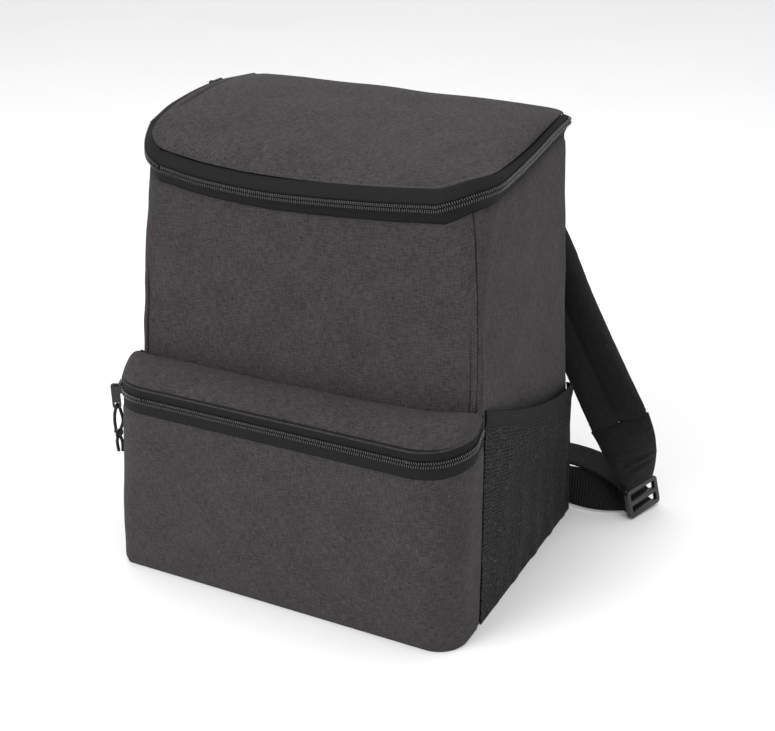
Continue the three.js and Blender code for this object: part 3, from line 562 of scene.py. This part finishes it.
# Lid: the CAD form smoothed, with the cloth's own soft unevenness
lid = {"wave": 1.3, "waveSize": 60, "small": 0.35, "smallSize": 22}


def softenLid(bm):
    bmesh.ops.subdivide_edges(bm, edges=bm.edges, cuts=1, use_grid_fill=True, smooth=0.0)
    for _ in range(2):
        bmesh.ops.smooth_vert(bm, verts=[v for v in bm.verts if v.normal.z > 0.2], factor=0.5,
                              use_axis_x=True, use_axis_y=True, use_axis_z=True)
    for v in bm.verts:
        p = v.co / mm
        lift = ripple(p, lid["waveSize"], lid["wave"], 3) + ripple(p, lid["smallSize"], lid["small"])
        v.co += v.normal * (lift * mm * clamp(v.normal.z))


def makeLid():
    obj = smoothCopy("padded_lid", "lid", "cloth", levels=1, crease=0.0, change=softenLid)
    settle(obj, ["lid"])


makeLid()
print("lid made")


# Front pocket
pocketLook = {"wave": 1.6, "waveSize": 70, "small": 0.45, "smallSize": 22, "rim": 1.6}


def pocketFrontPlace(s, t):
    w = mix(0, 5, s)
    top = pocketZipAt(w) - tapeReach - bag["gap"] + 1.0
    z = t * top
    p = pocketPoint(w, z, 0)
    dip = dipAt(z, pocketLook["rim"], 3.5) + dipAt(top - z, pocketLook["rim"], 2.6)
    calm = clamp(z / 20) * clamp((top - z) / 14) * clamp(min(w, 5 - w))
    dip += calm * (ripple(p, pocketLook["waveSize"], pocketLook["wave"], 11)
                   + ripple(p, pocketLook["smallSize"], pocketLook["small"], 5))
    return pocketPoint(w, z, dip)


def gussetPlace(s, t):
    w = mix(0.3, 4.7, s)
    rim = pocketPoint(w, pocketZipAt(w) + tapeReach + bag["gap"] - 1.0, 0)
    bodyShare = tableValue(bodySections, 1, pocket["height"] / bag["lidTop"])
    half = bodyShare * bag["width"] / 2 - bag["gap"]
    x = max(-half, min(half, rim.x))
    crease = pocket["height"] + clamp(x / half) ** 3 * pocket["rightRise"]
    rear = max(rim.y, bodyPoint(4.5, crease, -bag["gap"]).y)
    reach = clamp((rear - rim.y) / pocket["depth"])
    puff = pocket["puff"] * math.sin(math.pi * t) * reach
    z = mix(rim.z, crease, math.sin(math.pi / 2 * t)) + puff
    z -= reach * (dipAt((1 - t) * 30, 2.5, 4) + dipAt(t * 30, 1.2, 2.5))
    p = Vector((mix(rim.x, x, t), mix(rim.y, rear, t), z))
    calm = math.sin(math.pi * t) * reach
    p.z += calm * (ripple(p, 45, 2.2, 2) + ripple(p, 18, 0.6, 9))
    return p


def makePocket():
    obj = surface("sewn_pocket_front", pocketFrontPlace, 230, 80, "cloth", pocket["wall"])
    settle(obj, ["pocket_front"])
    obj = surface("sewn_pocket_gusset", gussetPlace, 220, 26, "cloth", pocket["wall"])
    settle(obj, ["pocket_gusset"])


makePocket()
print("front pocket made")


# Zips: woven tapes and two rows of coil teeth
teeth = {"pitch": 1.75, "along": 1.05, "across": 2.55, "out": 1.3, "offset": 1.45, "tilt": 0.2}


def lidTapeLower(s, t):
    u = mix(bag["backSeam"], 9 - bag["backSeam"], s)
    z = zipAt(u) - mix(tapeReach, chainReach - 0.6, t)
    return bodyPoint(u, z, bag["tapeInset"] - bag["overhang"] * t ** 1.5 + dipAt(t, 0.8, 0.15))


def lidTapeUpper(s, t):
    return leanPoint(mix(bag["backSeam"], 9 - bag["backSeam"], s), t)


def pocketTape(low, high):
    return lambda s, t: pocketPoint(5 * s, pocketZipAt(5 * s) + mix(low, high, t), bag["tapeInset"])


def lidChainPoint(s, up, out):
    u = mix(bag["backSeam"], 9 - bag["backSeam"], s)
    return bodyPoint(u, zipAt(u) + up, bag["tapeInset"] - bag["overhang"] - out)


def pocketChainPoint(s, up, out):
    return pocketPoint(5 * s, pocketZipAt(5 * s) + up, bag["tapeInset"] - out)


def oneTooth():
    # a short rounded bar, which the rows of teeth repeat
    bm = bmesh.new()
    bmesh.ops.create_cube(bm, size=1.0)
    bmesh.ops.scale(bm, vec=(teeth["along"], teeth["across"], teeth["out"]), verts=bm.verts)
    bmesh.ops.bevel(bm, geom=bm.edges[:], offset=0.36, segments=1, profile=0.5, affect="EDGES",
                    material=-1)
    mesh = bpy.data.meshes.new("tooth")
    bm.to_mesh(mesh)
    bm.free()
    return mesh


def evenShares(line, pitch):
    # shares at which points on the line lie one pitch apart
    count = 4000
    marks, total, last = [0.0], 0.0, line(0)
    for k in range(1, count + 1):
        here = line(k / count)
        total += (here - last).length
        last = here
        marks.append(total)
    shares, k = [], 0
    for step in range(int(total / pitch)):
        while marks[k] < (step + 0.5) * pitch:
            k += 1
        shares.append(k / count)
    return shares


def teethRows(name, chainPoint, node):
    tooth = oneTooth()
    bm = bmesh.new()
    for side in (-1, 1):
        shares = evenShares(lambda s: chainPoint(s, 0, 0.5), teeth["pitch"])
        for share in shares:
            s = min(0.999, max(0.001, share + (0.5 / len(shares) if side > 0 else 0)))
            centre = chainPoint(s, side * teeth["offset"], 0.7)
            along = (chainPoint(s + 0.0009, 0, 0.7) - chainPoint(s - 0.0009, 0, 0.7)).normalized()
            out = (chainPoint(s, 0, 3) - chainPoint(s, 0, 0)).normalized()
            across = out.cross(along).normalized()
            out = along.cross(across)
            axes = Matrix((along, across, out)).transposed().to_4x4()
            turn = Matrix.Rotation(teeth["tilt"] * side, 4, "Z")
            place = Matrix.Scale(mm, 4) @ Matrix.Translation(centre + Vector((0, shiftY, 0)))
            first = len(bm.verts)
            bm.from_mesh(tooth)
            bm.verts.ensure_lookup_table()
            bmesh.ops.transform(bm, matrix=place @ axes @ turn, verts=bm.verts[first:])
    mesh = bpy.data.meshes.new(name)
    bm.to_mesh(mesh)
    bm.free()
    return settle(newObject(name, mesh, "teeth"), [node])


def makeZips():
    for name, place, node, count in (
            ("woven_lid_tape_lower", lidTapeLower, "lid_tape_lower", 330),
            ("woven_lid_tape_upper", lidTapeUpper, "lid_tape_upper", 330),
            ("woven_pocket_tape_lower", pocketTape(-tapeReach, 0.6 - chainReach),
             "pocket_tape_lower", 200),
            ("woven_pocket_tape_upper", pocketTape(chainReach - 0.6, tapeReach),
             "pocket_tape_upper", 200)):
        obj = surface(name, place, count, 8, "tape", 1.0)
        settle(obj, [node])
    for name, chainPoint, node in (("lid_zip_teeth", lidChainPoint, "lid_zip_chain"),
                                   ("pocket_zip_teeth", pocketChainPoint, "pocket_zip_chain")):
        teethRows(name, chainPoint, node)
        # the tape's inner edges under the teeth
        under = surface(name + "_base", lambda s, t, c=chainPoint: c(s, mix(-2.7, 2.7, t), -0.6),
                        300, 2, "tape", 0.8)
        settle(under, [])


makeZips()
print("zips made")


# Mesh side pockets
meshPocket = {"from": 6.04, "to": 7.3, "front": 179, "back": 129, "binding": 12.5,
              "standOff": 8, "fold": 1.4, "folds": 7, "foldFade": 45, "thickness": 1.2,
              "bindingThickness": 2.2, "crumple": 2.6, "fineCrumple": 0.7, "crumpleRise": 70}


def meshTop(s):
    return mix(meshPocket["front"], meshPocket["back"], math.sin(math.pi / 2 * clamp(s * 1.1)))


def meshPoint(s, z, out):
    rise = clamp(z / meshPocket["back"])
    belly = max(0.0, math.sin(math.pi * clamp(s))) ** 0.7
    # folds fade out under the elastic binding and are uneven along the pocket
    calm = clamp((meshTop(s) - meshPocket["binding"] - z) / meshPocket["foldFade"])
    turn = s + 0.02 * math.sin(9 * s + z / 40)
    fold = math.cos(2 * math.pi * meshPocket["folds"] * turn) * meshPocket["fold"] * calm
    p = Vector((s * 16, z / meshPocket["crumpleRise"], 0))
    crumple = (meshPocket["crumple"] * noise.noise(p)
               + meshPocket["fineCrumple"] * noise.noise(p * 2.7))
    off = belly * (meshPocket["standOff"] * rise + fold * 0.8 + crumple * calm * rise)
    return bodyPoint(mix(meshPocket["from"], meshPocket["to"], s), z, -max(bag["gap"], off) - out)


def makeMeshPockets():
    def net(s, t):
        return meshPoint(s, t * (meshTop(s) - meshPocket["binding"] + 1), meshPocket["thickness"])

    def binding(s, t):
        z = meshTop(s) - meshPocket["binding"] * (1 - t)
        roll = 0.7 * math.sin(math.pi * t) ** 0.5 if 0 < t < 1 else 0
        groove = 0.35 * math.exp(-(((t - 0.14) / 0.05) ** 2))
        return meshPoint(s, z, meshPocket["bindingThickness"] - 0.7 + roll - groove)

    rows = (("knit_pocket", net, 170, 110, "mesh", 1.0, "mesh_pocket", "mesh"),
            ("elastic_binding", binding, 170, 18, "binding", 1.6, "mesh_binding", "tape"))
    for name, place, columns, count, look, thickness, node, slot in rows:
        right = surface(name + "_right", place, columns, count, look, thickness)
        left = mirroredCopy(right, name + "_left")
        settle(right, [node + "_right"])
        settle(left, [node + "_left"])


makeMeshPockets()
print("mesh pockets made")


# Shoulder straps: padded by a cloth simulation, then the sewn channel is drawn in
strap = {"voxel": 0.0019, "pressure": 4.0, "frames": 20, "mass": 0.3, "cap": 0.0022, "fill": 0.6,
         "along": (0.51, -0.11, -0.85), "across": (1, 0, 0.35), "tuck": 3.0, "tuckReach": 0.0015,
         "taller": 1.25, "groove": 2.4, "grooveDepth": 1.3, "grooveSteps": 24}
# side, behind and height of the strap's middle line: shares of half the bag's width, of its
# depth and of its lid's height, the same rows as in the bag's source
strapRoute = [
    (0.377, -0.07, 0.93), (0.44, 0.06, 0.855), (0.533, 0.142, 0.745), (0.687, 0.161, 0.622),
    (0.853, 0.123, 0.503), (1.067, 0.085, 0.356), (1.253, 0.057, 0.228)]


def smoothLine(points, steps=6):
    # points on a smooth curve through the given ones
    line = []
    for k in range(len(points) - 1):
        a, b = points[k], points[k + 1]
        before = points[max(0, k - 1)]
        after = points[min(len(points) - 1, k + 2)]
        for j in range(steps):
            s = j / steps
            s2, s3 = s * s, s * s * s
            line.append(a * (2 * s3 - 3 * s2 + 1) + (b - before) * 0.5 * (s3 - 2 * s2 + s)
                        + b * (3 * s2 - 2 * s3) + (after - a) * 0.5 * (s3 - s2))
    line.append(points[-1])
    return line


def simulatePad(obj):
    bpy.context.view_layer.objects.active = obj
    obj.select_set(True)
    rest = [v.co.copy() for v in obj.data.vertices]
    cloth = obj.modifiers.new("cloth", "CLOTH")
    cloth.settings.use_pressure = True
    cloth.settings.uniform_pressure_force = strap["pressure"]
    cloth.settings.effector_weights.gravity = 0
    cloth.settings.mass = strap["mass"]
    cloth.point_cache.frame_start = 1
    cloth.point_cache.frame_end = strap["frames"]
    scene = bpy.context.scene
    for k in range(1, strap["frames"] + 1):
        scene.frame_set(k)
    bpy.ops.object.modifier_apply(modifier="cloth")
    scene.frame_set(1)
    for v, start in zip(obj.data.vertices, rest):
        move = v.co - start
        if move.length > strap["cap"]:
            v.co = start + move.normalized() * strap["cap"]
    obj.select_set(False)


def padObject(name, node, look):
    bm = mergedCopy(node)
    mesh = bpy.data.meshes.new(name)
    bm.to_mesh(mesh)
    bm.free()
    obj = newObject(name, mesh, look)
    bpy.context.view_layer.objects.active = obj
    obj.select_set(True)
    remesh = finishModifier(obj, "REMESH", mode="VOXEL", voxel_size=strap["voxel"])
    bpy.ops.object.modifier_apply(modifier=remesh.name)
    obj.select_set(False)
    simulatePad(obj)
    bm = bmesh.new()
    bm.from_mesh(obj.data)
    bmesh.ops.smooth_vert(bm, verts=bm.verts, factor=0.4, use_axis_x=True, use_axis_y=True,
                          use_axis_z=True)
    bm.normal_update()
    drawChannel(bm)
    bm.normal_update()
    boxMap(bm)
    bm.to_mesh(obj.data)
    bm.free()
    for polygon in obj.data.polygons:
        polygon.use_smooth = True
    finishModifier(obj, "SUBSURF", levels=1, render_levels=1)
    return obj


def reachUnderStrap(bm):
    # the tab's upper end goes on under the strap's stitched end
    along = Vector(strap["along"]).normalized()
    first = min(v.co.dot(along) for v in bm.verts)
    for v in bm.verts:
        if v.co.dot(along) < first + strap["tuckReach"]:
            v.co -= along * strap["tuck"] * mm


def widenAtBag(bm):
    # the webbing stands taller where it is sewn to the bag, its lower edge kept
    low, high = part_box("anchor_webbing_right")
    for v in bm.verts:
        share = clamp((v.co.x - low.x) / (high.x - low.x))
        v.co.z = low.z + (v.co.z - low.z) * mix(strap["taller"], 1.0, share)


def drawChannel(bm):
    # the sewn channel along the strap's middle line
    points = [Vector((side * bag["width"] / 2, behind * bag["depth"], height * bag["lidTop"]))
              for side, behind, height in strapRoute]
    line = smoothLine([toFrame(p) for p in points], strap["grooveSteps"])
    across = Vector(strap["across"]).normalized()
    for v in bm.verts:
        near = min(line, key=lambda p: (v.co - p).length_squared)
        away = (v.co - near).dot(across) / mm
        v.co -= v.normal * mm * strap["grooveDepth"] * math.exp(-((away / strap["groove"]) ** 2))


def makeStraps():
    right = padObject("padded_strap_right", "shoulder_strap_right", "strap")
    left = mirroredCopy(right, "padded_strap_left")
    settle(right, ["shoulder_strap_right"])
    settle(left, ["shoulder_strap_left"])
    parts = (("sewn_tab", "strap_tab", "strap", 2, 0.0, "strap"),
             ("woven_anchor", "anchor_webbing", "webbing", 3, 0.0, "webbing"),
             ("woven_tail", "webbing_tail", "webbing", 3, 0.0, "webbing"),
             ("moulded_lock", "ladder_lock", "plastic", 0, 0.8, "plastic"))
    changes = {"strap_tab": reachUnderStrap, "anchor_webbing": widenAtBag}
    for name, node, look, levels, bevel, slot in parts:
        right = smoothCopy(name + "_right", node + "_right", look, levels, bevel=bevel,
                           change=changes.get(node))
        left = mirroredCopy(right, name + "_left")
        settle(right, [node + "_right"])
        settle(left, [node + "_left"])


makeStraps()
print("straps made")


# Sliders, pulls and the knotted cord
slider = {"at": 1.3, "bar": 6.2, "eye": -16.4, "cord": 2.6, "knot": 9, "tail": 12}
cordRoute = [
    (-0.7, -0.2, -22), (-3.2, -0.6, -15), (-2.2, -1.6, -7), (-0.6, -2.2, -1.8), (0, 0, 0.2),
    (0.6, 2.2, -1.8), (2.2, 1.6, -7), (3.2, 0.6, -15), (3.1, 0.2, -22)]


def sliderPlace(p):
    # from the slider's own axes, outwards, along the chain and up, to the frame
    facing = (slider["at"] + 1) * math.pi / 2
    base = pocketPoint(slider["at"], pocketZipAt(slider["at"]), 0)
    out = Vector((math.cos(facing), math.sin(facing), 0))
    turned = Matrix.Rotation(facing, 3, "Z") @ Vector(p)
    return toFrame(base + out * bag["gap"] + turned)


def tube(name, line, diameter, closed=False):
    data = bpy.data.curves.new(name, "CURVE")
    data.dimensions = "3D"
    data.bevel_depth = diameter / 2 * mm
    data.bevel_resolution = 4
    data.use_fill_caps = True
    spline = data.splines.new("POLY")
    spline.points.add(len(line) - 1)
    for target, p in zip(spline.points, line):
        target.co = (*p, 1)
    spline.use_cyclic_u = closed
    spline.use_smooth = True
    data.materials.append(clothLooks["cord"])
    obj = bpy.data.objects.new(name, data)
    bpy.context.scene.collection.objects.link(obj)
    return obj


def makePulls():
    for node in ("lid_slider", "lid_pull", "pocket_slider", "pocket_pull"):
        obj = smoothCopy("coated_" + node, node, "metal", levels=0, bevel=0.35)
        settle(obj, [node])
    route = [Vector((slider["bar"] + a, b, slider["eye"] + c)) for a, b, c in cordRoute]
    line = smoothLine([sliderPlace(p) for p in route])
    cord = tube("pull_cord_loop", line, slider["cord"])
    settle(cord, ["pull_cord"])
    middle = (route[0] + route[-1]) / 2 + Vector((0, 0, -slider["knot"] / 2 + 1))
    knotLine = []
    for k in range(72):
        t = 2 * math.pi * k / 72
        knotLine.append(sliderPlace(middle + Vector((
            0.95 * (math.sin(t) + 2 * math.sin(2 * t)), 1.5 * -math.sin(3 * t),
            1.05 * (math.cos(t) - 2 * math.cos(2 * t))))))
    knot = tube("pull_cord_knot", knotLine, slider["cord"], True)
    settle(knot, ["pull_knot"])
    for side in (-1, 1):
        foot = middle + Vector((side * slider["cord"] * 0.62, 0, -slider["knot"] / 2 - slider["tail"]))
        bend = middle + Vector((side * slider["cord"] * 0.75, 0.4 * side, -slider["knot"] / 2 - 3))
        end = tube(f"pull_cord_end_{'left' if side < 0 else 'right'}",
                   smoothLine([sliderPlace(p) for p in (middle, bend, foot)]), slider["cord"])
        settle(end, [])


makePulls()
print("pulls and cord made")


# Floor and soft studio light
studio = {"floor": 6.0, "world": 0.85, "target": (0, 0, 0.2)}
# place, size and power of each light
lights = {"key": ((-0.9, -1.6, 1.5), 1.4, 30), "fill": ((1.8, -0.9, 0.9), 1.2, 8),
          "top": ((0.1, 0.2, 2.0), 1.6, 14)}


def areaLight(name, place, size, power):
    data = bpy.data.lights.new(name, "AREA")
    data.shape = "DISK"
    data.size = size
    data.energy = power
    obj = bpy.data.objects.new(name, data)
    bpy.context.scene.collection.objects.link(obj)
    obj.location = place
    obj.rotation_mode = "QUATERNION"
    obj.rotation_quaternion = (Vector(studio["target"]) - Vector(place)).to_track_quat("-Z", "Y")


def makeStudio():
    bm = bmesh.new()
    bmesh.ops.create_grid(bm, x_segments=1, y_segments=1, size=studio["floor"])
    mesh = bpy.data.meshes.new("floor")
    bm.to_mesh(mesh)
    bm.free()
    floor = bpy.data.objects.new("floor", mesh)
    bpy.context.scene.collection.objects.link(floor)
    n = Nodes("paleFloor")
    tone = n.noise(n.add("TexCoord").outputs["Object"], 3.0, 2.0)
    mesh.materials.append(n.finish(n.ramp(tone, [(0, (0.86, 0.86, 0.86)), (1, (0.9, 0.9, 0.9))]), 0.6))
    world = bpy.data.worlds.new("studio")
    world.use_nodes = True
    background = world.node_tree.nodes["Background"]
    background.inputs["Color"].default_value = (1, 1, 1, 1)
    background.inputs["Strength"].default_value = studio["world"]
    bpy.context.scene.world = world
    for name, (place, size, power) in lights.items():
        areaLight(name, place, size, power)
    bpy.context.scene.view_settings.view_transform = "Standard"


makeStudio()
print("studio made")
